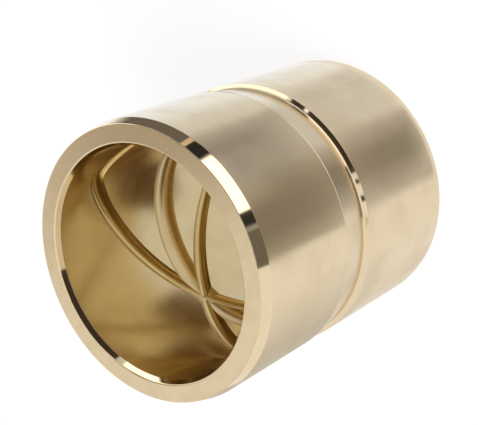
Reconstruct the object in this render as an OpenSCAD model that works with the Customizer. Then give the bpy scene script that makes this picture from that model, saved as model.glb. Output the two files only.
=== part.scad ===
// Grooved bronze plain bushing: one turned sleeve, standing on its rear end.
// The origin is the centre of the resting end and +Z runs up the bore axis.

/* [Sleeve] */
// Bore diameter, running on the pin
bore_d = 70; // [60:0.5:90]
// Wall from the bore to the outside, which is pressed into the housing
wall = 7.5; // [6:0.1:12]
// Length from end face to end face
length = 96.4; // [86:0.1:140]

/* [Ends] */
// Axial length of the outer lead-in chamfer, at the upper end
lead_in_l = 4; // [1:0.5:8]
// Angle of the outer lead-in chamfer to the axis
lead_in_angle = 15; // [5:1:30]
// Axial length of the chamfer at the upper mouth of the bore
mouth_l = 1.8; // [1:0.1:4]
// Angle of the mouth chamfer to the axis
mouth_angle = 30; // [10:1:45]
// Size of the broken edges of the resting end
rest_break = 0.4; // [0.2:0.1:1.5]

/* [Outer grease groove] */
// Height of the groove's bottom above the resting end, to its middle
groove_z = 44.4; // [38:0.1:56]
// Depth of the groove
groove_depth = 1.5; // [0.5:0.1:2.5]
// Width of the long shallow flank, which runs up to the scribed line
long_flank_w = 10.5; // [4:0.1:16]
// Width of the flat bottom
groove_floor_w = 0.8; // [0.4:0.1:3]
// Width of the short steep flank, on the lower side
steep_flank_w = 1; // [0.4:0.1:3]

/* [Scribed line] */
// Width of the fine line around the outside
line_w = 0.4; // [0.2:0.1:1]
// Depth of the fine line
line_depth = 0.12; // [0.05:0.01:0.4]

/* [Ring groove in the bore] */
// Height of the ring groove's middle above the resting end
ring_z = 47.6; // [42:0.1:56]
// Width of the ring groove at the bore wall
ring_w = 9.4; // [7:0.1:12]
// Depth of the ring groove
ring_depth = 1.4; // [0.5:0.1:2]

/* [Crossed oil grooves] */
// Rise of a groove for each degree around the bore
groove_rise = 0.418; // [0.3:0.001:0.43]
// Radius of the ball-nosed cutter
cutter_r = 3.5; // [2.5:0.1:4.5]
// Depth of the crossed grooves
cross_depth = 1.3; // [0.5:0.1:1.8]
// Sharpness of the turn at the ends, 1 is a sharp corner
turn_sharpness = 0.991; // [0.98:0.001:0.995]

/* [Oil hole] */
// Diameter of the hole that joins the outer groove to the ring groove
oil_hole_d = 6; // [3:0.5:6]

/* [Hidden] */

bore_r = bore_d / 2;
outside_r = bore_r + wall;

// Radial size of the two chamfers
lead_in_drop = lead_in_l * tan(lead_in_angle);
mouth_flare = mouth_l * tan(mouth_angle);

// Heights of the corners of the outer groove, and of the line at its upper end
floor_bottom_z = groove_z - groove_floor_w / 2;
floor_top_z = groove_z + groove_floor_w / 2;
groove_bottom_z = floor_bottom_z - steep_flank_w;
groove_top_z = floor_top_z + long_flank_w;

// The ring groove is an arc, so its tool is wider than the groove is deep
ring_tool_r = (ring_w * ring_w / 4 + ring_depth * ring_depth) / (2 * ring_depth);
ring_tool_at = bore_r + ring_depth - ring_tool_r;

// The sweep that cuts a crossed groove
cut_overlap = 1;
arc_steps = 6;
stations = 96;
// Share by which the stations draw together at the turns
station_crowding = 0.6;
cutter_at = cross_depth - cutter_r;
cutter_half_angle = acos(-cutter_at / cutter_r);

// Points of the turned section, from the resting end's bore up the outside
sleeve_section = [
    [bore_r + rest_break, 0],
    [outside_r - rest_break, 0],
    [outside_r, rest_break],
    [outside_r, groove_bottom_z],
    [outside_r - groove_depth, floor_bottom_z],
    [outside_r - groove_depth, floor_top_z],
    [outside_r, groove_top_z],
    [outside_r - line_depth, groove_top_z + line_w / 2],
    [outside_r, groove_top_z + line_w],
    [outside_r, length - lead_in_l],
    [outside_r - lead_in_drop, length],
    [bore_r + mouth_flare, length],
    [bore_r, length - mouth_l],
    [bore_r, rest_break]
];

// Angle around the bore of one station, crowded towards the two turns
function station_angle(i) =
    let (turn = 360 * i / stations)
    turn - station_crowding * sin(2 * turn) * 90 / PI;

// Height of a crossed groove above the ring groove, a zigzag with round turns
function groove_height(angle) = groove_rise * asin(turn_sharpness * cos(angle));

// Rise of that zigzag for each degree, its slope
function groove_slope(angle) =
    -groove_rise * turn_sharpness * sin(angle)
    / sqrt(1 - pow(turn_sharpness * cos(angle), 2));

// Point beside and outwards of the groove's middle line on the bore wall
function beside(angle, aside, outwards) =
    let (lean = atan2(groove_slope(angle), bore_r * PI / 180))
    let (r = bore_r + outwards)
    let (around = -aside * sin(lean))
    [
        r * cos(angle) - around * sin(angle),
        r * sin(angle) + around * cos(angle),
        ring_z + groove_height(angle) + aside * cos(lean)
    ];

// Section of the cutter: a round nose outwards, and a flat back inside the bore
cutter_section = concat(
    [for (k = [0 : arc_steps])
        let (a = cutter_half_angle * (2 * k / arc_steps - 1))
        [cutter_r * sin(a), cutter_at + cutter_r * cos(a)]],
    [
        [cutter_r * sin(cutter_half_angle), -cut_overlap],
        [-cutter_r * sin(cutter_half_angle), -cut_overlap]
    ]
);
section_n = len(cutter_section);

// One closed zigzag groove around the bore, with its upper turn at angle 0
module zigzag_cut() {
    points = [for (i = [0 : stations - 1])
        for (p = cutter_section)
            beside(station_angle(i), p[0], p[1])];
    faces = [for (i = [0 : stations - 1])
        for (k = [0 : section_n - 1])
            let (next_i = (i + 1) % stations)
            let (next_k = (k + 1) % section_n)
            let (a = i * section_n + k)
            let (b = i * section_n + next_k)
            let (c = next_i * section_n + next_k)
            let (d = next_i * section_n + k)
            each [[a, b, c], [a, c, d]]];
    polyhedron(points = points, faces = faces);
}

// Round-bottomed ring groove around the middle of the bore
module ring_cut() {
    translate([0, 0, ring_z])
        rotate_extrude($fn = 180)
            translate([ring_tool_at, 0])
                circle(r = ring_tool_r, $fn = 120);
}

// Oil hole through the wall, on the side where the grooves turn
module oil_hole_cut() {
    translate([0, ring_tool_at, ring_z])
        rotate([-90, 0, 0])
            cylinder(d = oil_hole_d, h = outside_r, $fn = 48);
}

module bushing() {
    color("#c9b184")
        difference() {
            rotate_extrude($fn = 180) polygon(sleeve_section);
            ring_cut();
            rotate([0, 0, 90]) zigzag_cut();
            rotate([0, 0, -90]) zigzag_cut();
            oil_hole_cut();
        }
}

bushing();
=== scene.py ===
"""Looks of a grooved bronze plain bushing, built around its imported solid.

The sleeve is turned again as one fine mesh: its section is eased at the corners and spun, the crossed
oil grooves are milled out of the bore, and the oil hole is drilled. Each surface then gets the finish
that its own cut or polish left on it.
"""

import logging
import math
from dataclasses import dataclass, field
from enum import Enum, IntEnum
from typing import Any, Sequence

import bmesh
import bpy
import numpy as np
from mathutils import Matrix, Vector


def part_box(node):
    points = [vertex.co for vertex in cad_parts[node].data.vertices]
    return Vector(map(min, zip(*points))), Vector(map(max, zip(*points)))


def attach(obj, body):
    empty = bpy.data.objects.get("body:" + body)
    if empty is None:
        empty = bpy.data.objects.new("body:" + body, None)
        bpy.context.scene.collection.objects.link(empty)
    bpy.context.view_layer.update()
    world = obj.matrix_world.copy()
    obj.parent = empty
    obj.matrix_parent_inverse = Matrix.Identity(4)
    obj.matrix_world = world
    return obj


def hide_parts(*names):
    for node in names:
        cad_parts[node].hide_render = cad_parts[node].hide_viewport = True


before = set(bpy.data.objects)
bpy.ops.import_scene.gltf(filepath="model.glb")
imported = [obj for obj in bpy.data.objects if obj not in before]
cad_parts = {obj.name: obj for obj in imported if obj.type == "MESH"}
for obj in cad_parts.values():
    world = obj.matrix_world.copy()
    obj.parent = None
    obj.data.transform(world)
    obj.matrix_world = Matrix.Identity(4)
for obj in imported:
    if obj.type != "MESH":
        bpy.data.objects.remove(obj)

log = logging.getLogger("bushing")

MM = 0.001
# Points that lie closer than this are merged, in metres
SEAM = 1e-7
# The dressed sleeve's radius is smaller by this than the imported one's, in millimetres
HAIR = 0.001
# Length that stays straight between two eased corners, in millimetres, so that they don't meet
SPARE = 0.02
# A piece of the section's line is straight if it lies this near to a side, in millimetres
ON_SIDE = 1e-4
# A later piece of the line has to be nearer by this, in millimetres, to be taken
TIE = 1e-9
# The full turn is one spun part and copies of it
PARTS_OF_TURN = 15
# Span of the noise that runs from none to full, for the tool marks and for the smudges
MARK_SPAN = (0.3, 0.7)
BLOTCH_SPAN = (0.42, 0.68)
# A Mix node's two colours and its result, by number because they share their names with others
FIRST_COLOUR, SECOND_COLOUR, MIXED_COLOUR = 6, 7, 2
# Share of a full turn that lays the stretch of a reflection across the tool marks
ACROSS_MARKS = 0.25
# Name of a card's values: the share by which each point covers what lies behind it
COVER = "cover"
WHITE = "#FFFFFF"
# Sides of a round floor
FLOOR_SIDES = 96
NODE = "bushing"
BODY = "root"
PIECE = "bronze_sleeve"


def srgb_linear(hex_colour: str) -> tuple[float, float, float, float]:
    """Turn an sRGB hex colour into the linear colour that a shader takes.

    Args:
        hex_colour: Six hex digits after a hash.

    Returns:
        Red, green, blue and an alpha of one.
    """
    parts = [int(hex_colour[i : i + 2], 16) / 255 for i in (1, 3, 5)]
    linear = [p / 12.92 if p <= 0.04045 else ((p + 0.055) / 1.055) ** 2.4 for p in parts]
    return (*linear, 1.0)


def add_node(
    tree: bpy.types.NodeTree,
    kind: str,
    settings: dict[str, Any] | None = None,
    values: dict[Any, Any] | None = None,
    links: dict[Any, bpy.types.NodeSocket] | None = None,
) -> bpy.types.Node:
    """Add a node with its settings, fixed values and links.

    Args:
        tree: The tree that the node goes into.
        kind: The node's type name.
        settings: Properties of the node itself.
        values: Fixed values by input name or number.
        links: Sockets that feed inputs, by input name or number.

    Returns:
        The new node.
    """
    node = tree.nodes.new(kind)
    for name, value in (settings or {}).items():
        setattr(node, name, value)
    for name, value in (values or {}).items():
        node.inputs[name].default_value = value
    for name, socket in (links or {}).items():
        tree.links.new(socket, node.inputs[name])
    return node


class Zone(IntEnum):
    """Surfaces of the sleeve that were made in different ways, in the order of their materials."""

    OUTSIDE = 0
    END_FACE = 1
    CHAMFER = 2
    LONG_FLANK = 3
    STEEP_FLANK = 4
    BORE = 5
    MOUTH = 6
    RING = 7
    CROSSED = 8
    OIL_HOLE = 9


class Marks(Enum):
    """Which way the tool marks of a finish run."""

    ROUND = "round the axis"
    FACED = "in circles on a flat face"
    EVEN = "no clear direction"


# Finishes


@dataclass(frozen=True)
class BronzeFinish:
    """Cast tin bronze, machined all over, with the marks of one cut or polish.

    Bronze is a bare metal here, so the colour tints every reflection and there is no coat. The marks
    are finer than a pixel, so they show as sheen, streaks and soft blotches and not as lines.

    Attributes:
        name: Common name of the finish.
        colour: Colour of the clean metal.
        shade: Colour of the metal where handling has dulled it.
        roughness: Roughness between the marks.
        mark_roughness: Added roughness in the marks.
        marks: Which way the marks run.
        pitch_mm: Spacing of the marks, drawn as coarse as it needs to show.
        streak_mm: Length of one mark.
        depth_um: Depth of the marks in thousandths of a millimetre.
        blotch_mm: Size of the soft smudges from handling.
        blotch_roughness: Added roughness in the smudges.
        blotch_share: How far the smudges turn the colour to the shade.
        anisotropy: Share by which the marks stretch a reflection across them.
    """

    name: str
    colour: str
    shade: str
    roughness: float
    mark_roughness: float = 0.03
    marks: Marks = Marks.ROUND
    pitch_mm: float = 0.35
    streak_mm: float = 14.0
    depth_um: float = 1.0
    blotch_mm: float = 11.0
    blotch_roughness: float = 0.04
    blotch_share: float = 0.3
    anisotropy: float = 0.0

    def material(self) -> bpy.types.Material:
        """Build the finish as a material.

        Returns:
            The material.
        """
        made = bpy.data.materials.new(self.name)
        made.use_nodes = True
        tree = made.node_tree
        tree.nodes.clear()
        place = add_node(tree, "ShaderNodeTexCoord").outputs["Object"]
        marks = self._mark_pattern(tree, place)
        blotches = self._blotch_pattern(tree, place)
        rough_marks = add_node(
            tree,
            "ShaderNodeMapRange",
            values={
                "From Min": MARK_SPAN[0],
                "From Max": MARK_SPAN[1],
                "To Min": self.roughness,
                "To Max": self.roughness + self.mark_roughness,
            },
            links={"Value": marks},
        ).outputs[0]
        rough = add_node(
            tree,
            "ShaderNodeMath",
            {"operation": "MULTIPLY_ADD"},
            {1: self.blotch_roughness},
            {0: blotches, 2: rough_marks},
        ).outputs[0]
        share = add_node(
            tree, "ShaderNodeMath", {"operation": "MULTIPLY"}, {1: self.blotch_share}, {0: blotches}
        ).outputs[0]
        colour = add_node(
            tree,
            "ShaderNodeMix",
            {"data_type": "RGBA"},
            {FIRST_COLOUR: srgb_linear(self.colour), SECOND_COLOUR: srgb_linear(self.shade)},
            {0: share},
        ).outputs[MIXED_COLOUR]
        bump = add_node(
            tree,
            "ShaderNodeBump",
            values={"Strength": 1.0, "Distance": self.depth_um * MM * MM},
            links={"Height": marks},
        ).outputs["Normal"]
        shader = add_node(
            tree,
            "ShaderNodeBsdfPrincipled",
            values={
                "Metallic": 1.0,
                "Anisotropic": self.anisotropy,
                "Anisotropic Rotation": ACROSS_MARKS,
            },
            links={"Base Color": colour, "Roughness": rough, "Normal": bump},
        )
        if self.anisotropy:
            tangent = add_node(tree, "ShaderNodeTangent", {"direction_type": "RADIAL", "axis": "Z"})
            tree.links.new(tangent.outputs[0], shader.inputs["Tangent"])
        add_node(tree, "ShaderNodeOutputMaterial", links={"Surface": shader.outputs[0]})
        return made

    def _mark_pattern(
        self, tree: bpy.types.NodeTree, place: bpy.types.NodeSocket
    ) -> bpy.types.NodeSocket:
        """Draw the tool marks as noise that is stretched along the way they run.

        Args:
            tree: The material's tree.
            place: Object coordinates.

        Returns:
            The pattern's value.
        """
        along, across = 1 / (self.streak_mm * MM), 1 / (self.pitch_mm * MM)
        vector = place
        if self.marks is Marks.FACED:
            parts = add_node(tree, "ShaderNodeSeparateXYZ", links={0: place})
            flat = add_node(
                tree, "ShaderNodeCombineXYZ", links={0: parts.outputs[0], 1: parts.outputs[1]}
            ).outputs[0]
            radius = add_node(
                tree, "ShaderNodeVectorMath", {"operation": "LENGTH"}, links={0: flat}
            ).outputs["Value"]
            vector = add_node(
                tree,
                "ShaderNodeCombineXYZ",
                links={0: parts.outputs[0], 1: parts.outputs[1], 2: radius},
            ).outputs[0]
        if self.marks is Marks.EVEN:
            along = across
        scaled = add_node(
            tree,
            "ShaderNodeMapping",
            values={"Scale": (along, along, across)},
            links={"Vector": vector},
        ).outputs[0]
        return add_node(
            tree,
            "ShaderNodeTexNoise",
            values={"Scale": 1.0, "Detail": 3.0, "Roughness": 0.6},
            links={"Vector": scaled},
        ).outputs[0]

    def _blotch_pattern(
        self, tree: bpy.types.NodeTree, place: bpy.types.NodeSocket
    ) -> bpy.types.NodeSocket:
        """Draw the soft smudges of handling.

        Args:
            tree: The material's tree.
            place: Object coordinates.

        Returns:
            The pattern's value, from none to full.
        """
        noise = add_node(
            tree,
            "ShaderNodeTexNoise",
            values={"Scale": 1 / (self.blotch_mm * MM), "Detail": 2.0, "Roughness": 0.5},
            links={"Vector": place},
        ).outputs[0]
        return add_node(
            tree,
            "ShaderNodeMapRange",
            values={"From Min": BLOTCH_SPAN[0], "From Max": BLOTCH_SPAN[1]},
            links={"Value": noise},
        ).outputs[0]


FINISHES: dict[Zone, BronzeFinish] = {
    # Ground between centres: a satin that is sharp round the sleeve and soft along it
    Zone.OUTSIDE: BronzeFinish(
        "bronze_ground_outside", "#E4D0AF", "#CDB892", 0.2, anisotropy=0.7, depth_um=0.6
    ),
    # Turned with a keen tool: a little darker and glossier than the ground outside
    Zone.LONG_FLANK: BronzeFinish(
        "bronze_turned_flank", "#DCC9A8", "#C4AF8B", 0.17, anisotropy=0.6, depth_um=0.6
    ),
    # Faced with a wide tool: an even satin with marks in circles
    Zone.END_FACE: BronzeFinish(
        "bronze_faced_end",
        "#E9D3AE",
        "#CDB58E",
        0.24,
        0.02,
        marks=Marks.FACED,
        pitch_mm=0.9,
        depth_um=0.2,
        blotch_mm=6.0,
        blotch_roughness=0.02,
        blotch_share=0.2,
    ),
    # Polished with emery: close to a mirror
    Zone.CHAMFER: BronzeFinish(
        "bronze_polished_chamfer", "#E6D2AE", "#D9C39A", 0.05, 0.02, blotch_roughness=0.02
    ),
    Zone.STEEP_FLANK: BronzeFinish(
        "bronze_polished_flank", "#E4D0AF", "#D9C39A", 0.05, 0.02, blotch_roughness=0.02
    ),
    # Fine bored and burnished: smooth, with faint rings of the boring tool
    Zone.BORE: BronzeFinish(
        "bronze_fine_bore", "#E7D3A6", "#D6BF8A", 0.15, 0.05, pitch_mm=0.3, depth_um=0.8
    ),
    # Polished after the bore: nearly a mirror, so it shows hard white and dark shapes
    Zone.MOUTH: BronzeFinish(
        "bronze_polished_mouth", "#E9D5AE", "#D9C39A", 0.06, 0.02, blotch_roughness=0.02
    ),
    # Turned with a round-nosed tool inside the bore: a warm satin
    Zone.RING: BronzeFinish("bronze_turned_ring", "#E4CC9B", "#CDB380", 0.2, 0.05),
    # Milled with a ball-nosed cutter: a soft sheen with small uneven marks
    Zone.CROSSED: BronzeFinish(
        "bronze_milled_groove",
        "#E3CB93",
        "#C7AE70",
        0.2,
        0.04,
        marks=Marks.EVEN,
        pitch_mm=2.5,
        depth_um=2.0,
    ),
    # Drilled and left so: the roughest surface
    Zone.OIL_HOLE: BronzeFinish("bronze_drilled_hole", "#DCC18A", "#BFA066", 0.3),
}


# Shape


@dataclass(frozen=True)
class Corner:
    """A corner of a turned section.

    Attributes:
        out: Distance from the axis in millimetres.
        up: Height in millimetres.
        zone: The surface that runs from this corner to the next one.
        ease: Length along each side by which the corner is eased.
        steps: Facets of the eased corner.
    """

    out: float
    up: float
    zone: Zone
    ease: float
    steps: int = 3


class Section:
    """A closed section with eased corners, which also knows the true normals of its surface."""

    def __init__(self, corners: Sequence[Corner]) -> None:
        """Ease the corners and keep the line that comes of it.

        Args:
            corners: The corners, counter-clockwise with the axis on the left.
        """
        self.corners = tuple(corners)
        wire = self.wire()
        # Go round the wire from point to point, then make it counter-clockwise
        start = next(iter(wire.verts))
        order, before = [start], None
        while True:
            here = order[-1]
            after = [e.other_vert(here) for e in here.link_edges if e.other_vert(here) is not before]
            if after[0] is start or len(order) > len(wire.verts):
                break
            before = here
            order.append(after[0])
        points = np.array([(v.co.x, v.co.z) for v in order]) / MM
        wire.free()
        ahead = np.roll(points, -1, axis=0)
        if np.sum(points[:, 0] * ahead[:, 1] - ahead[:, 0] * points[:, 1]) < 0:
            points = points[::-1]
            ahead = np.roll(points, -1, axis=0)
        self.points, self.runs = points, ahead - points
        normals = np.stack([self.runs[:, 1], -self.runs[:, 0]], 1)
        normals /= np.linalg.norm(normals, axis=1, keepdims=True)
        # A straight side keeps its normal up to its ends, and an eased corner turns between them
        self.zones, straight = self._sides(points + self.runs / 2)
        last, last_straight = np.roll(normals, 1, axis=0), np.roll(straight, 1)
        mean = normals + last
        mean = np.where(straight[:, None], normals, np.where(last_straight[:, None], last, mean))
        self.starts = mean / np.linalg.norm(mean, axis=1, keepdims=True)
        self.ends = np.roll(self.starts, -1, axis=0)

    def wire(self) -> bmesh.types.BMesh:
        """Draw the section as a closed wire with its corners eased.

        Returns:
            The wire, in metres, in the plane of X and Z.
        """
        wire = bmesh.new()
        verts = [wire.verts.new((c.out * MM, 0, c.up * MM)) for c in self.corners]
        for here, there in zip(verts, verts[1:] + verts[:1]):
            wire.edges.new((here, there))
        for vert, corner in zip(verts, self.corners):
            if corner.ease:
                bmesh.ops.bevel(
                    wire,
                    geom=[vert],
                    offset=corner.ease * MM,
                    offset_type="OFFSET",
                    segments=corner.steps,
                    profile=0.5,
                    affect="VERTICES",
                    material=-1,
                )
        return wire

    def _sides(self, middles: np.ndarray) -> tuple[np.ndarray, np.ndarray]:
        """Find the surface that each piece of the line belongs to.

        Args:
            middles: Middle point of each piece.

        Returns:
            The zone of each piece, and whether it is straight and not part of an eased corner.
        """
        at = np.array([(c.out, c.up) for c in self.corners])
        run = np.roll(at, -1, axis=0) - at
        length = np.linalg.norm(run, axis=1)
        from_start = middles[:, None, :] - at[None]
        share = np.clip((from_start * run).sum(2) / length**2, 0, 1)
        gap = np.linalg.norm(from_start - share[..., None] * run, axis=2)
        nearest = gap.argmin(1)
        zones = np.array([int(self.corners[i].zone) for i in nearest])
        return zones, gap.min(1) < ON_SIDE

    def look_up(self, points: np.ndarray) -> tuple[np.ndarray, np.ndarray, np.ndarray]:
        """Find the true normal and the zone at points of the surface.

        Args:
            points: Points of the section's plane, in millimetres.

        Returns:
            The normals, the zones and the distances from the line.
        """
        length = (self.runs**2).sum(1)
        best = np.full(len(points), np.inf)
        side, share = np.zeros(len(points), int), np.zeros(len(points))
        for i, (start, run) in enumerate(zip(self.points, self.runs)):
            off = points - start
            t = np.clip(off @ run / length[i], 0, 1)
            gap = np.linalg.norm(off - t[:, None] * run, axis=1)
            nearer = gap < best - TIE
            best[nearer], side[nearer], share[nearer] = gap[nearer], i, t[nearer]
        normals = self.starts[side] * (1 - share[:, None]) + self.ends[side] * share[:, None]
        normals /= np.linalg.norm(normals, axis=1, keepdims=True)
        return normals, self.zones[side], best


@dataclass
class CrossedGroove:
    """One zigzag oil groove, milled round the bore with a ball-nosed cutter.

    Attributes:
        bore_r: Radius of the bore.
        middle_up: Height about which the groove swings.
        rise: Rise for each degree round the bore.
        cutter_r: Radius of the cutter's nose.
        depth: Depth of the groove.
        sharpness: Sharpness of the turns.
        turn_at: Angle of the upper turn.
        stations: Steps of the sweep.
        crowding: Share by which the stations draw together at the turns.
        rim_ease: Length along each side by which the groove's rim is eased.
        nose_steps: Facets of the cutter's round nose.
        lip: Width of the cutter's lip beyond each rim, where it cuts nothing.
        lip_angle: Angle by which the lip leaves the bore wall, in degrees.
        back: Distance of the cutter's back from the bore wall.
        rounds: Rounds of the search for the middle line's nearest point.
        pull: Share of the miss that each round takes up.
        section: The cutter's section, drawn from the sizes above.
    """

    bore_r: float
    middle_up: float
    rise: float
    cutter_r: float
    depth: float
    sharpness: float
    turn_at: float
    stations: int = 720
    crowding: float = 0.6
    rim_ease: float = 0.22
    nose_steps: int = 14
    lip: float = 1.2
    lip_angle: float = 12.0
    back: float = 1.0
    rounds: int = 14
    pull: float = 0.8
    section: Section = field(init=False)

    def __post_init__(self) -> None:
        """Draw the cutter's section: a round nose that flares a little at the bore wall."""
        half = math.sqrt(self.cutter_r**2 - (self.cutter_r - self.depth) ** 2)
        slant = math.asin(half / self.cutter_r)
        tip = self.bore_r + half * math.tan(slant)
        nose = half / math.cos(slant) - self.rim_ease - SPARE
        lip_r = self.bore_r - self.lip * math.tan(math.radians(self.lip_angle))
        back_r, edge = self.bore_r - self.back, half + self.lip
        corners = [
            Corner(back_r, -edge, Zone.CROSSED, ease=0),
            Corner(lip_r, -edge, Zone.CROSSED, ease=0),
            Corner(self.bore_r, -half, Zone.CROSSED, self.rim_ease),
            Corner(tip, 0, Zone.CROSSED, nose, self.nose_steps),
            Corner(self.bore_r, half, Zone.CROSSED, self.rim_ease),
            Corner(lip_r, edge, Zone.CROSSED, ease=0),
            Corner(back_r, edge, Zone.CROSSED, ease=0),
        ]
        self.section = Section(corners)

    def height(self, angle: np.ndarray) -> np.ndarray:
        """Give the middle line's height above the middle, for angles from the upper turn."""
        return math.degrees(self.rise) * np.arcsin(self.sharpness * np.cos(angle))

    def lean(self, angle: np.ndarray) -> np.ndarray:
        """Give the angle by which the groove climbs.

        Args:
            angle: Angles from the upper turn, in radians.

        Returns:
            The climb at each, in radians.
        """
        s = self.sharpness
        slope = -math.degrees(self.rise) * s * np.sin(angle) / np.sqrt(1 - (s * np.cos(angle)) ** 2)
        return np.arctan2(slope, self.bore_r)

    def cutter(self) -> bmesh.types.BMesh:
        """Spin the cutter's section into a ring, and bend the ring along the groove.

        Returns:
            The closed cutter, in metres.
        """
        ring = spin_section(self.section, self.stations)
        for vert in ring.verts:
            turn = math.atan2(vert.co.y, vert.co.x)
            angle = turn - self.crowding * math.sin(2 * turn) / 2
            lean = float(self.lean(np.array(angle)))
            aside, out = vert.co.z / MM, math.hypot(vert.co.x, vert.co.y)
            around = angle - aside * math.sin(lean) / self.bore_r + math.radians(self.turn_at)
            up = self.middle_up + float(self.height(np.array(angle))) + aside * math.cos(lean)
            vert.co = (out * math.cos(around), out * math.sin(around), up * MM)
        return ring

    def normals(self, points: np.ndarray) -> tuple[np.ndarray, np.ndarray]:
        """Find the true normals of the milled surface.

        Args:
            points: Points of the surface, in millimetres.

        Returns:
            The normals, and the distances from the cutter's section.
        """
        around = np.arctan2(points[:, 1], points[:, 0]) - math.radians(self.turn_at)
        around = (around + math.pi) % (2 * math.pi) - math.pi
        out = np.hypot(points[:, 0], points[:, 1])
        up = points[:, 2] - self.middle_up
        angle = around.copy()
        for _ in range(self.rounds):
            lean = self.lean(angle)
            miss = self.bore_r * (around - angle) * np.cos(lean)
            miss += (up - self.height(angle)) * np.sin(lean)
            angle += self.pull * miss * np.cos(lean) / self.bore_r
        lean = self.lean(angle)
        aside = (up - self.height(angle)) * np.cos(lean)
        aside -= self.bore_r * (around - angle) * np.sin(lean)
        flat, _, gap = self.section.look_up(np.stack([out, aside], 1))
        turn = around + math.radians(self.turn_at)
        outward = np.stack([np.cos(turn), np.sin(turn), np.zeros_like(turn)], 1)
        sideways = np.stack([-np.sin(turn), np.cos(turn), np.zeros_like(turn)], 1)
        beside = -np.sin(lean)[:, None] * sideways
        beside[:, 2] += np.cos(lean)
        return -(flat[:, :1] * outward + flat[:, 1:] * beside), gap


def spin_section(section: Section, steps: int) -> bmesh.types.BMesh:
    """Spin a section round the axis into a closed solid.

    Args:
        section: The section.
        steps: Steps of the full turn.

    Returns:
        The solid, with each face's zone as its material.
    """
    solid, part = section.wire(), 2 * math.pi / PARTS_OF_TURN
    about = {"cent": (0, 0, 0), "axis": (0, 0, 1)}
    bmesh.ops.spin(
        solid,
        geom=solid.verts[:] + solid.edges[:],
        angle=part,
        steps=steps // PARTS_OF_TURN,
        use_duplicate=False,
        **about,
    )
    bmesh.ops.spin(
        solid,
        geom=solid.verts[:] + solid.edges[:] + solid.faces[:],
        angle=part * (PARTS_OF_TURN - 1),
        steps=PARTS_OF_TURN - 1,
        use_duplicate=True,
        **about,
    )
    bmesh.ops.remove_doubles(solid, verts=solid.verts[:], dist=SEAM)
    bmesh.ops.recalc_face_normals(solid, faces=solid.faces[:])
    middles = np.array([tuple(f.calc_center_median()) for f in solid.faces]) / MM
    flat = np.stack([np.hypot(middles[:, 0], middles[:, 1]), middles[:, 2]], 1)
    zones = section.look_up(flat)[1]
    for face, zone in zip(solid.faces, zones):
        face.material_index = int(zone)
        face.smooth = True
    return solid


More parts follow.
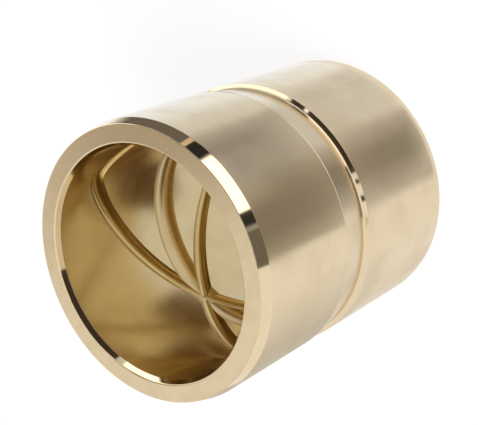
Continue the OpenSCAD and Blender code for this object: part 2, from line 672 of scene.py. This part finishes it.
@dataclass
class Sleeve:
    """The bushing: one bronze sleeve, turned, grooved, milled and drilled.

    Attributes:
        outside_r: Radius of the outside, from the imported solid.
        length: Length from end face to end face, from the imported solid.
        wall: Wall between the bore and the outside.
        lead_in: Axial length of the outer chamfer at the upper end.
        lead_in_angle: Angle of that chamfer to the axis.
        mouth: Axial length of the chamfer at the upper mouth of the bore.
        mouth_angle: Angle of that chamfer to the axis.
        rest_break: Size of the broken edges of the resting end.
        groove_up: Height of the outer groove's floor, to its middle.
        groove_depth: Depth of the outer groove.
        long_flank: Width of its long flank, which runs up to the scribed line.
        groove_floor: Width of its floor.
        steep_flank: Width of its steep flank, on the lower side.
        line_width: Width of the scribed line.
        line_depth: Depth of the scribed line.
        ring_up: Height of the ring groove's middle.
        ring_width: Width of the ring groove at the bore wall.
        ring_depth: Depth of the ring groove.
        rise: Rise of a crossed groove for each degree round the bore.
        cutter_r: Radius of the ball-nosed cutter.
        cross_depth: Depth of the crossed grooves.
        sharpness: Sharpness of their turns, 1 is a sharp corner.
        hole_d: Diameter of the oil hole.
        hole_sides: Sides of the oil hole.
        steps: Steps of the turned section's full turn.
    """

    outside_r: float
    length: float
    wall: float = 7.5
    lead_in: float = 4.0
    lead_in_angle: float = 15.0
    mouth: float = 1.8
    mouth_angle: float = 30.0
    rest_break: float = 0.4
    groove_up: float = 44.4
    groove_depth: float = 1.5
    long_flank: float = 10.5
    groove_floor: float = 0.8
    steep_flank: float = 1.0
    line_width: float = 0.4
    line_depth: float = 0.12
    ring_up: float = 47.6
    ring_width: float = 9.4
    ring_depth: float = 1.4
    rise: float = 0.418
    cutter_r: float = 3.5
    cross_depth: float = 1.3
    sharpness: float = 0.991
    hole_d: float = 6.0
    hole_sides: int = 64
    steps: int = 360

    @property
    def bore_r(self) -> float:
        """Radius of the bore."""
        return self.outside_r - self.wall

    def section(self) -> Section:
        """Draw the turned section with its corners eased.

        Returns:
            The section.
        """
        r, bore, top = self.outside_r, self.bore_r, self.length
        face_r = r - self.lead_in * math.tan(math.radians(self.lead_in_angle))
        mouth_r = bore + self.mouth * math.tan(math.radians(self.mouth_angle))
        floor_foot = self.groove_up - self.groove_floor / 2
        floor_top = self.groove_up + self.groove_floor / 2
        groove_foot, line_foot = floor_foot - self.steep_flank, floor_top + self.long_flank
        floor_r = r - self.groove_depth
        half_line, half_ring = self.line_width / 2, self.ring_width / 2
        broken = self.rest_break
        ring_r = (half_ring**2 + self.ring_depth**2) / (2 * self.ring_depth)
        slant = math.asin(half_ring / ring_r)
        ring_tip = bore + half_ring * math.tan(slant)
        rim_ease = 0.12
        tip_ease = half_ring / math.cos(slant) - rim_ease - SPARE
        return Section(
            [
                Corner(bore + broken, 0, Zone.END_FACE, ease=0.1),
                Corner(r - broken, 0, Zone.CHAMFER, ease=0.1),
                Corner(r, broken, Zone.OUTSIDE, ease=0.1),
                Corner(r, groove_foot, Zone.STEEP_FLANK, ease=0.08),
                # The nose of the tool leaves this corner round
                Corner(floor_r, floor_foot, Zone.STEEP_FLANK, ease=0.68, steps=10),
                Corner(floor_r, floor_top, Zone.LONG_FLANK, ease=0.1),
                Corner(r, line_foot, Zone.CHAMFER, ease=0.05),
                Corner(r - self.line_depth, line_foot + half_line, Zone.CHAMFER, ease=0.04),
                Corner(r, line_foot + self.line_width, Zone.OUTSIDE, ease=0.05),
                Corner(r, top - self.lead_in, Zone.CHAMFER, ease=0.12),
                Corner(face_r, top, Zone.END_FACE, ease=0.2),
                Corner(mouth_r, top, Zone.MOUTH, ease=0.35, steps=6),
                Corner(bore, top - self.mouth, Zone.BORE, ease=0.15),
                # Three corners, the middle one eased nearly up to the others, make the ring's arc
                Corner(bore, self.ring_up + half_ring, Zone.RING, rim_ease),
                Corner(ring_tip, self.ring_up, Zone.RING, tip_ease, steps=18),
                Corner(bore, self.ring_up - half_ring, Zone.BORE, rim_ease),
                Corner(bore, broken, Zone.MOUTH, ease=0.1),
            ]
        )

    def crossed_grooves(self) -> list[CrossedGroove]:
        """Give the two zigzag grooves, which turn on opposite sides.

        Returns:
            The grooves.
        """
        return [
            CrossedGroove(
                self.bore_r,
                self.ring_up,
                self.rise,
                self.cutter_r,
                self.cross_depth,
                self.sharpness,
                turn_at,
            )
            for turn_at in (90.0, -90.0)
        ]

    def drill(self) -> bmesh.types.BMesh:
        """Make the drill of the oil hole, from inside the bore outwards along +Y.

        Returns:
            The closed drill, in metres.
        """
        drill = bmesh.new()
        radius, length = self.hole_d / 2 * MM, 2 * self.wall * MM
        bmesh.ops.create_cone(
            drill,
            cap_ends=True,
            segments=self.hole_sides,
            radius1=radius,
            radius2=radius,
            depth=length,
        )
        middle = self.bore_r + self.wall / 2
        bmesh.ops.rotate(
            drill, verts=drill.verts, cent=(0, 0, 0), matrix=Matrix.Rotation(math.pi / 2, 3, "X")
        )
        bmesh.ops.translate(drill, verts=drill.verts, vec=(0, middle * MM, self.ring_up * MM))
        for face in drill.faces:
            face.material_index = int(Zone.OIL_HOLE)
        return drill

    def build(self) -> bpy.types.Object:
        """Turn, mill and drill the sleeve, and dress it.

        Returns:
            The finished piece.
        """
        section, grooves = self.section(), self.crossed_grooves()
        materials = [FINISHES[zone].material() for zone in sorted(Zone)]
        blank = as_object("turned_blank", spin_section(section, self.steps), materials)
        for i, cutter in enumerate([g.cutter() for g in grooves] + [self.drill()]):
            tool = as_object(f"cutter_{i}", cutter, materials)
            cut = blank.modifiers.new(tool.name, "BOOLEAN")
            cut.operation, cut.object, cut.solver = "DIFFERENCE", tool, "MANIFOLD"
        graph = bpy.context.evaluated_depsgraph_get()
        mesh = bpy.data.meshes.new_from_object(blank.evaluated_get(graph))
        tools = [m.object for m in blank.modifiers]
        for spent in [blank, *tools]:
            bpy.data.objects.remove(spent)
        mesh.name = PIECE
        sleeve = bpy.data.objects.new(PIECE, mesh)
        bpy.context.scene.collection.objects.link(sleeve)
        self._true_normals(mesh, section, grooves)
        return sleeve

    def _true_normals(
        self, mesh: bpy.types.Mesh, section: Section, grooves: Sequence[CrossedGroove]
    ) -> None:
        """Give every corner of every face the normal of the true surface.

        Args:
            mesh: The cut sleeve.
            section: Its turned section.
            grooves: Its milled grooves.
        """
        co = np.zeros(len(mesh.vertices) * 3)
        mesh.vertices.foreach_get("co", co)
        co = co.reshape(-1, 3) / MM
        vert = np.zeros(len(mesh.loops), int)
        mesh.loops.foreach_get("vertex_index", vert)
        zone, count = np.zeros(len(mesh.polygons), int), np.zeros(len(mesh.polygons), int)
        mesh.polygons.foreach_get("material_index", zone)
        mesh.polygons.foreach_get("loop_total", count)
        zone, at = np.repeat(zone, count), co[vert]
        normals = np.zeros((len(vert), 3))
        milled, drilled = zone == int(Zone.CROSSED), zone == int(Zone.OIL_HOLE)
        turned = ~(milled | drilled)
        out = np.hypot(at[:, 0], at[:, 1])
        flat = section.look_up(np.stack([out, at[:, 2]], 1)[turned])[0]
        normals[turned] = np.concatenate(
            [flat[:, :1] * at[turned][:, :2] / out[turned][:, None], flat[:, 1:]], 1
        )
        found = [groove.normals(at[milled]) for groove in grooves]
        nearer = found[0][1] < found[1][1]
        normals[milled] = np.where(nearer[:, None], found[0][0], found[1][0])
        hole = at[drilled] - (0, 0, self.ring_up)
        normals[drilled] = -hole * (1, 0, 1)
        normals /= np.linalg.norm(normals, axis=1, keepdims=True)
        mesh.shade_smooth()
        mesh.normals_split_custom_set(normals.tolist())


def as_object(
    name: str, shape: bmesh.types.BMesh, materials: Sequence[bpy.types.Material]
) -> bpy.types.Object:
    """Turn a bmesh into an object at the origin.

    Args:
        name: Name of the object and its mesh.
        shape: The shape, which is freed.
        materials: The object's materials.

    Returns:
        The object.
    """
    mesh = bpy.data.meshes.new(name)
    shape.to_mesh(mesh)
    shape.free()
    for material in materials:
        mesh.materials.append(material)
    made = bpy.data.objects.new(name, mesh)
    bpy.context.scene.collection.objects.link(made)
    return made


# Studio


@dataclass
class PhotoCamera:
    """The camera at the photograph's angle.

    The sleeve stands on its end here and lies on its side in the photograph, so the camera is rolled.

    Attributes:
        azimuth: Side that the camera stands on, in degrees from +X.
        distance: Distance from the middle of the upper end face.
        tilt: Angle between the bore axis and the line to the camera.
        roll: Turn about the line of sight.
        yaw: Turn away from the end face to the middle of the sleeve.
        pitch: Rise away from the end face.
        focal_px: Focal length in pixels of the picture.
        width_px: Width of the picture.
        sensor: Width of the sensor in millimetres.
        clip_m: Nearest and farthest distance that the camera sees, in metres.
    """

    azimuth: float = -29.5
    distance: float = 326.26
    tilt: float = 47.341
    roll: float = -114.434
    yaw: float = 4.775
    pitch: float = 2.705
    focal_px: float = 1143.566
    width_px: float = 478.0
    sensor: float = 36.0
    clip_m: tuple[float, float] = (0.01, 20.0)

    def build(self, top: float) -> bpy.types.Object:
        """Set the camera up.

        Args:
            top: Height of the upper end face in millimetres.

        Returns:
            The camera.
        """
        tilt, roll, yaw, pitch = map(math.radians, (self.tilt, self.roll, self.yaw, self.pitch))
        back = Vector((math.sin(tilt), 0, math.cos(tilt)))
        place = back * self.distance * MM
        right = Vector((0, 1, 0))
        up = back.cross(right)
        right, up = (
            math.cos(roll) * right + math.sin(roll) * up,
            math.cos(roll) * up - math.sin(roll) * right,
        )
        right, back = (
            math.cos(yaw) * right + math.sin(yaw) * back,
            math.cos(yaw) * back - math.sin(yaw) * right,
        )
        up, back = (
            math.cos(pitch) * up + math.sin(pitch) * back,
            math.cos(pitch) * back - math.sin(pitch) * up,
        )
        turn = Matrix([right, up, back]).transposed().to_4x4()
        data = bpy.data.cameras.new("photo_camera")
        data.sensor_width = self.sensor
        data.lens = self.focal_px / self.width_px * self.sensor
        data.clip_start, data.clip_end = self.clip_m
        camera = bpy.data.objects.new("photo_camera", data)
        side = Matrix.Rotation(math.radians(self.azimuth), 4, "Z")
        camera.matrix_world = Matrix.Translation((0, 0, top * MM)) @ side @ (
            Matrix.Translation(place) @ turn
        )
        bpy.context.scene.collection.objects.link(camera)
        bpy.context.scene.camera = camera
        return camera


def card_object(name: str, shape: bmesh.types.BMesh, colour: str, light: float) -> bpy.types.Object:
    """Turn a shape into a glowing card that only reflections see, as in a product studio.

    Args:
        name: What the card is for.
        shape: The card's shape, with the share by which each point covers what lies behind.
        colour: Colour of the card.
        light: Light that it gives back.

    Returns:
        The card.
    """
    made = bpy.data.materials.new(name)
    made.use_nodes = True
    tree = made.node_tree
    tree.nodes.clear()
    cover = add_node(tree, "ShaderNodeAttribute", {"attribute_name": COVER}).outputs["Fac"]
    clear = add_node(tree, "ShaderNodeBsdfTransparent").outputs[0]
    glow = add_node(
        tree, "ShaderNodeEmission", values={"Color": srgb_linear(colour), "Strength": light}
    ).outputs[0]
    mix = add_node(tree, "ShaderNodeMixShader", links={0: cover, 1: clear, 2: glow})
    add_node(tree, "ShaderNodeOutputMaterial", links={"Surface": mix.outputs[0]})
    card = as_object(name, shape, [made])
    card.visible_camera = card.visible_shadow = False
    card.visible_diffuse = card.visible_transmission = False
    return card


@dataclass(frozen=True)
class View:
    """What the lamps and the cards must know of the photograph's view.

    Attributes:
        azimuth: The camera's side, in degrees from +X.
        place: The camera's place in metres.
        top: Height of the sleeve's upper end in millimetres.
    """

    azimuth: float
    place: Vector
    top: float


@dataclass(frozen=True)
class CurvedCard:
    """A card bent round the axis.

    Attributes:
        name: What the card is for.
        side: Angles from the camera's side at which it starts and ends, in degrees.
        foot: Distance from the axis and height of one edge, in millimetres.
        head: Distance from the axis and height of the other edge.
        light: Light that it gives back.
        colour: Colour of the card.
        step: Angle between its points, about.
    """

    name: str
    side: tuple[float, float]
    foot: tuple[float, float]
    head: tuple[float, float]
    light: float
    colour: str = WHITE
    step: float = 2.0

    def build(self, view: View) -> bpy.types.Object:
        """Bend the card round the axis.

        Args:
            view: The photograph's view.

        Returns:
            The card.
        """
        card = bmesh.new()
        cover = card.verts.layers.float.new(COVER)
        ends = [card.verts.new((out * MM, 0, up * MM)) for out, up in (self.foot, self.head)]
        edge = card.edges.new(ends)
        start, end = (math.radians(view.azimuth + a) for a in self.side)
        bmesh.ops.rotate(card, verts=ends, cent=(0, 0, 0), matrix=Matrix.Rotation(start, 3, "Z"))
        bmesh.ops.spin(
            card,
            geom=[*ends, edge],
            cent=(0, 0, 0),
            axis=(0, 0, 1),
            angle=end - start,
            steps=max(2, round(math.degrees(end - start) / self.step)),
            use_duplicate=False,
        )
        for vert in card.verts:
            vert[cover] = 1.0
        return card_object(self.name, card, self.colour, self.light)


@dataclass(frozen=True)
class MirrorCard:
    """A card laid where one band of the sleeve mirrors it to the camera, with soft edges.

    Attributes:
        name: What the card is for.
        turn: Where it shows on the sleeve, in degrees from the camera's side.
        deep: Depths below the upper end between which it shows, in millimetres.
        light: Light that it gives back.
        colour: Colour of the card.
        soft: Width of its soft edges at both ends of the turn, in degrees.
        fade: Height of its soft edges at head and foot, in millimetres.
        lean: Angle by which the band faces upwards, in degrees.
        level: Height at which the card lies.
        radius: Radius of the band.
        turn_step: Largest angle between its points.
        deep_step: Largest difference in depth between its points.
    """

    name: str
    turn: tuple[float, float]
    deep: tuple[float, float]
    light: float
    colour: str = WHITE
    soft: tuple[float, float] = (0.6, 0.6)
    fade: tuple[float, float] = (3.0, 3.0)
    lean: float = 0.0
    level: float = 1.0
    radius: float = 42.5
    turn_step: float = 2.0
    deep_step: float = 8.0

    def build(self, view: View) -> bpy.types.Object:
        """Lay the card out by the law of reflection.

        Args:
            view: The photograph's view.

        Returns:
            The card.
        """
        turns, turn_cover = self._stops(self.turn, self.soft, self.turn_step)
        depths, deep_cover = self._stops(self.deep, self.fade, self.deep_step)
        card = bmesh.new()
        cover = card.verts.layers.float.new(COVER)
        bmesh.ops.create_grid(
            card, x_segments=len(turns) - 1, y_segments=len(depths) - 1, size=0.5
        )
        # The grid is one unit wide, so a point's place on it tells which stops it belongs to
        for vert in card.verts:
            i = round((vert.co.x + 0.5) * (len(turns) - 1))
            k = round((vert.co.y + 0.5) * (len(depths) - 1))
            vert[cover] = turn_cover[i] * deep_cover[k]
            turn = math.radians(view.azimuth + turns[i])
            vert.co = self.mirrored(turn, (view.top - depths[k]) * MM, view.place)
        return card_object(self.name, card, self.colour, self.light)

    def mirrored(self, turn: float, up: float, camera: Vector) -> Vector:
        """Find the point that a point of the band mirrors to the camera.

        Args:
            turn: Angle of the point from +X, in radians.
            up: Height of the point in metres.
            camera: The camera's place in metres.

        Returns:
            The point at the card's level, in metres.
        """
        around = Vector((math.cos(turn), math.sin(turn), 0))
        point = around * self.radius * MM + Vector((0, 0, up))
        lean = math.radians(self.lean)
        normal = around * math.cos(lean) + Vector((0, 0, math.sin(lean)))
        ray = (point - camera).normalized()
        ray -= 2 * normal.dot(ray) * normal
        return point + ray * (self.level * MM - up) / ray.z

    @staticmethod
    def _stops(
        span: tuple[float, float], soft: tuple[float, float], step: float
    ) -> tuple[list[float], list[float]]:
        """Divide a span, with one more stop where each soft edge ends.

        Args:
            span: Start and end.
            soft: Widths of the soft edges.
            step: Largest step between.

        Returns:
            The stops, and the share by which the card covers at each.
        """
        inner = span[0] + soft[0], span[1] - soft[1]
        count = max(2, math.ceil((inner[1] - inner[0]) / step))
        middle = [inner[0] + (inner[1] - inner[0]) * i / count for i in range(count + 1)]
        return [span[0], *middle, span[1]], [0.0, *[1.0] * len(middle), 0.0]


@dataclass(frozen=True)
class BoreCard:
    """A glowing card on the floor inside the bore, which only the bore itself mirrors: dimmer than the
    white floor, it paints shade into the bore's reflections.

    Attributes:
        name: What the card is for.
        along: Distances from the axis towards the camera between which it lies, in millimetres.
        across: Distances across that direction between which it lies.
        light: Light that it gives back.
        colour: Colour of the card.
        level: Height at which it lies.
        soft: Width of its soft edges.
        radius: Radius of the floor inside the bore.
    """

    name: str
    along: tuple[float, float]
    across: tuple[float, float]
    light: float
    colour: str = WHITE
    level: float = 1.0
    soft: float = 3.0
    radius: float = 34.9

    def build(self, view: View) -> bpy.types.Object:
        """Lay the card.

        Args:
            view: The photograph's view.

        Returns:
            The card.
        """
        card = bmesh.new()
        cover = card.verts.layers.float.new(COVER)
        radius = self.radius * MM
        bmesh.ops.create_circle(card, cap_ends=True, segments=FLOOR_SIDES, radius=radius)
        for axis, (low, high) in enumerate((self.along, self.across)):
            facing = (1 - axis, axis, 0)
            for place in (low, low + self.soft, high - self.soft, high):
                bmesh.ops.bisect_plane(
                    card,
                    geom=card.verts[:] + card.edges[:] + card.faces[:],
                    plane_co=(place * MM, place * MM, 0),
                    plane_no=facing,
                    clear_inner=place == low,
                    clear_outer=place == high,
                )
        for vert in card.verts:
            x, y = vert.co.x / MM, vert.co.y / MM
            inside = min(
                x - self.along[0], self.along[1] - x, y - self.across[0], self.across[1] - y
            )
            vert[cover] = min(1.0, max(0.0, inside / self.soft))
        turn = Matrix.Translation((0, 0, self.level * MM)) @ Matrix.Rotation(
            math.radians(view.azimuth), 4, "Z"
        )
        bmesh.ops.transform(card, matrix=turn, verts=card.verts)
        return card_object(self.name, card, self.colour, self.light)


# Angles by which the lead-in chamfer and the groove's steep flank face upwards, in degrees
LEAD_IN = 15.0
STEEP = 56.3
# Radius of the steep flank's middle and height of the cards that it mirrors, in millimetres
FLANK_R = 41.8
FLANK_LEVEL = 420.0
# Depths below the upper end that a band is laid for, in millimetres, with some to spare
FRONT = (-30, 43)
REAR = (46, 94)
CHAMFER = (-50, 40)
FLANK = (5, 100)
# The warm dark of an unlit room
ROOM_DARK = "#FFE0CC"

CARDS: tuple[CurvedCard | MirrorCard | BoreCard, ...] = (
    # Outside in front of the groove
    MirrorCard("tan_side", (-88, -30), (-30, 54), 0.64, "#FFFDF6", soft=(1, 28), fade=(3, 12)),
    MirrorCard("brown_front", (-17.6, 13.6), FRONT, 0.38, "#FFFCEF", level=1.3),
    MirrorCard("brown_core", (-14, 12), FRONT, 0.25, "#FFF6E3", soft=(6, 5), level=1.6),
    MirrorCard("grey_front", (13, 39), FRONT, 0.47, soft=(0.6, 1.5), level=1.2),
    MirrorCard("grey_blur", (5, 34), (-6, 29), 0.24, "#F0EEFF", soft=(6, 7), fade=(7, 8), level=1.4),
    MirrorCard("pale_front", (38, 52), FRONT, 0.93, "#F5FAFF", soft=(1.5, 4), level=1.1),
    # Outside behind the groove, which the groove's long flank mirrors too
    MirrorCard("tan_rear", (-88, -46), REAR, 0.9, "#FFFDF6", soft=(1, 10)),
    MirrorCard("brown_rear", (-18, 19), (46, 94.6), 0.62, soft=(4, 4), fade=(3, 1.5), level=1.3),
    MirrorCard(
        "brown_rear_core", (-14, 16), (46, 94.6), 0.32, "#FFFAF0", soft=(12, 11), fade=(3, 9), level=1.6
    ),
    MirrorCard("pale_rear", (13, 50), REAR, 0.86, "#F6FAFF", soft=(0.6, 5), level=1.1),
    # Right-hand side, where the outside turns away
    MirrorCard("cool_side", (46, 88), (-30, 94), 1.3, "#EAF3FF", soft=(8, 1), level=1.05),
    # Lead-in chamfer
    MirrorCard("lead_in_brown", (-18.5, -2), CHAMFER, 0.18, "#FFF8EC", soft=(0.8, 2.5), lean=LEAD_IN),
    MirrorCard("lead_in_dark", (-4, 3.4), CHAMFER, 0.035, soft=(2, 0.8), lean=LEAD_IN, level=1.3),
    MirrorCard("lead_in_white", (2.8, 28), CHAMFER, 2.2, soft=(0.6, 1.5), lean=LEAD_IN),
    MirrorCard("lead_in_black", (27, 36.5), CHAMFER, 0.03, soft=(1.5, 0.6), lean=LEAD_IN, level=1.3),
    MirrorCard("lead_in_copper", (36.3, 38.4), CHAMFER, 0.8, "#FFD9B8", lean=LEAD_IN),
    MirrorCard("lead_in_grey", (38, 76), CHAMFER, 0.17, "#FFF6F0", soft=(0.6, 9), lean=LEAD_IN),
    # Dark card overhead, for the steep flank, the lips of the mouth and the milled grooves
    CurvedCard("over_dark", (-1, 74), (100, 420), (560, 260), 0.06, ROOM_DARK),
    # Short dark and bright bars along the steep flank, and its white end
    MirrorCard("flank_tick", (-5.5, -3), FLANK, 0.08, lean=STEEP, level=FLANK_LEVEL, radius=FLANK_R),
    MirrorCard("flank_left", (-13, -10), FLANK, 0.08, lean=STEEP, level=FLANK_LEVEL, radius=FLANK_R),
    MirrorCard(
        "flank_right", (33.5, 40.5), FLANK, 0.07, lean=STEEP, level=FLANK_LEVEL, radius=FLANK_R
    ),
    MirrorCard("flank_glint", (30.8, 33.4), FLANK, 1.3, lean=STEEP, level=330, radius=FLANK_R),
    MirrorCard("flank_white", (42, 84), FLANK, 1.9, "#FFFDF8", (1, 1), lean=STEEP, level=FLANK_LEVEL),
    # Cards close around the upper end, for the mouth's chamfer and its lips
    CurvedCard("mouth_tan", (-125, -31), (80, 97), (80, 150), 0.74, "#FFF4E4"),
    CurvedCard("mouth_dark", (-31, 75), (80, 118), (80, 230), 0.05, ROOM_DARK),
    CurvedCard("mouth_pale_front", (75, 84), (80, 98), (80, 126), 0.7),
    CurvedCard("mouth_white", (84, 130), (80, 98), (80, 126), 2.0),
    CurvedCard("mouth_pale_side", (130, 139), (80, 98), (80, 126), 0.7),
    CurvedCard("mouth_dark_side", (75, 115), (80, 128), (80, 165), 0.06, ROOM_DARK),
    # Painted shade in the bore's reflections: dim glowing cards on the floor inside the bore, darker
    # still at the sides
    # Painted shade: the floor inside the bore, dimmed below the white floor for the bore's reflections
    BoreCard("bore_floor_shade", (-40, 40), (-40, 40), 0.72),
    BoreCard("bore_shade_left", (-60, 21), (19, 60), 0.15, "#E8B880", level=1.3, soft=6),
    BoreCard("bore_shade_right", (-60, 6), (-60, -14), 0.12, "#E8B070", level=1.3, soft=6),
    # Pale cards behind, for the end face
    CurvedCard("behind", (120, 240), (420, 200), (420, 700), 0.88),
    CurvedCard("behind_dim", (100, 176), (410, 420), (410, 900), 0.35, "#FFF0DC"),
)


@dataclass(frozen=True)
class Lamp:
    """A soft square lamp that points at the sleeve and shows in no reflection.

    Attributes:
        name: Name of the lamp.
        side: Its side, in degrees from the camera's side.
        rise: Its angle above the floor, in degrees.
        distance: Its distance from the sleeve in millimetres.
        size: Its width in millimetres.
        watts: Its power.
    """

    name: str
    side: float
    rise: float
    distance: float
    size: float
    watts: float

    def build(self, view: View) -> None:
        """Hang the lamp.

        Args:
            view: The photograph's view.
        """
        data = bpy.data.lights.new(self.name, "AREA")
        data.size, data.energy = self.size * MM, self.watts
        lamp = bpy.data.objects.new(self.name, data)
        a, e = math.radians(view.azimuth + self.side), math.radians(self.rise)
        back = Vector((math.cos(a) * math.cos(e), math.sin(a) * math.cos(e), math.sin(e)))
        lamp.location = back * self.distance * MM
        lamp.rotation_mode = "QUATERNION"
        lamp.rotation_quaternion = (-back).to_track_quat("-Z", "Y")
        lamp.visible_glossy = False
        bpy.context.scene.collection.objects.link(lamp)


LAMPS: tuple[Lamp, ...] = (
    Lamp("key", side=-55, rise=48, distance=900, size=700, watts=7.0),
    Lamp("fill", side=70, rise=40, distance=1000, size=900, watts=4.0),
)


@dataclass
class Studio:
    """Pale floor, white surroundings and soft lamps.

    Attributes:
        floor_r: Radius of the floor in millimetres.
        floor_white: Share of the floor's colour that stays white in the camera's view.
        sky: Strength of the surroundings on dull surfaces.
    """

    floor_r: float = 3000.0
    floor_white: float = 0.72
    sky: float = 0.6

    def build(self, view: View) -> None:
        """Set up the floor, the world, the lamps and the cards.

        Args:
            view: The photograph's view.
        """
        self._floor()
        self._world()
        for item in (*LAMPS, *CARDS):
            item.build(view)
        bpy.context.scene.view_settings.view_transform = "Standard"

    def _floor(self) -> None:
        """Lay a white floor that keeps the sleeve's shadow and reflects as plain white."""
        shape, radius = bmesh.new(), self.floor_r * MM
        bmesh.ops.create_circle(shape, cap_ends=True, segments=FLOOR_SIDES, radius=radius)
        made = bpy.data.materials.new("studio_floor")
        made.use_nodes = True
        tree = made.node_tree
        tree.nodes.clear()
        rays = add_node(tree, "ShaderNodeLightPath")
        seen = add_node(
            tree,
            "ShaderNodeMath",
            {"operation": "MULTIPLY"},
            {1: self.floor_white},
            {0: rays.outputs["Is Camera Ray"]},
        ).outputs[0]
        share = self._or_mirrored(tree, rays, seen)
        matt = add_node(tree, "ShaderNodeBsdfDiffuse", values={"Color": srgb_linear(WHITE)})
        white = add_node(tree, "ShaderNodeEmission", values={"Color": srgb_linear(WHITE)})
        mix = add_node(
            tree,
            "ShaderNodeMixShader",
            links={0: share, 1: matt.outputs[0], 2: white.outputs[0]},
        )
        add_node(tree, "ShaderNodeOutputMaterial", links={"Surface": mix.outputs[0]})
        as_object("studio_floor", shape, [made])

    def _world(self) -> None:
        """Surround the scene with white, at full strength only where it is seen or mirrored."""
        world = bpy.data.worlds.new("studio_white")
        world.use_nodes = True
        tree = world.node_tree
        tree.nodes.clear()
        rays = add_node(tree, "ShaderNodeLightPath")
        strength = add_node(
            tree,
            "ShaderNodeMapRange",
            values={"To Min": self.sky, "To Max": 1.0},
            links={"Value": self._or_mirrored(tree, rays, rays.outputs["Is Camera Ray"])},
        ).outputs[0]
        back = add_node(
            tree,
            "ShaderNodeBackground",
            values={"Color": srgb_linear(WHITE)},
            links={"Strength": strength},
        )
        add_node(tree, "ShaderNodeOutputWorld", links={"Surface": back.outputs[0]})
        bpy.context.scene.world = world

    @staticmethod
    def _or_mirrored(
        tree: bpy.types.NodeTree, rays: bpy.types.Node, seen: bpy.types.NodeSocket
    ) -> bpy.types.NodeSocket:
        """Make a share full for rays that metal mirrors or glass lets through.

        Args:
            tree: The tree of the floor or the world.
            rays: Its node that tells the kinds of ray apart.
            seen: The share for the camera's own rays.

        Returns:
            The share for all rays.
        """
        for kind in ("Is Glossy Ray", "Is Transmission Ray"):
            seen = add_node(
                tree,
                "ShaderNodeMath",
                {"operation": "MAXIMUM"},
                links={0: seen, 1: rays.outputs[kind]},
            ).outputs[0]
        return seen


def main() -> None:
    """Build the camera, the studio and the sleeve."""
    logging.basicConfig(level=logging.INFO, format="%(name)s: %(message)s")
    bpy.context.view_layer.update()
    low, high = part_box(NODE)
    sleeve = Sleeve(outside_r=high.x / MM - HAIR, length=(high.z - low.z) / MM)
    camera = PhotoCamera()
    seen_from = camera.build(sleeve.length).matrix_world.translation
    Studio().build(View(camera.azimuth, seen_from, sleeve.length))
    piece = sleeve.build()
    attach(piece, BODY)
    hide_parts(NODE)
    log.info("%s: %d faces", piece.name, len(piece.data.polygons))


if __name__ == "__main__":
    main()
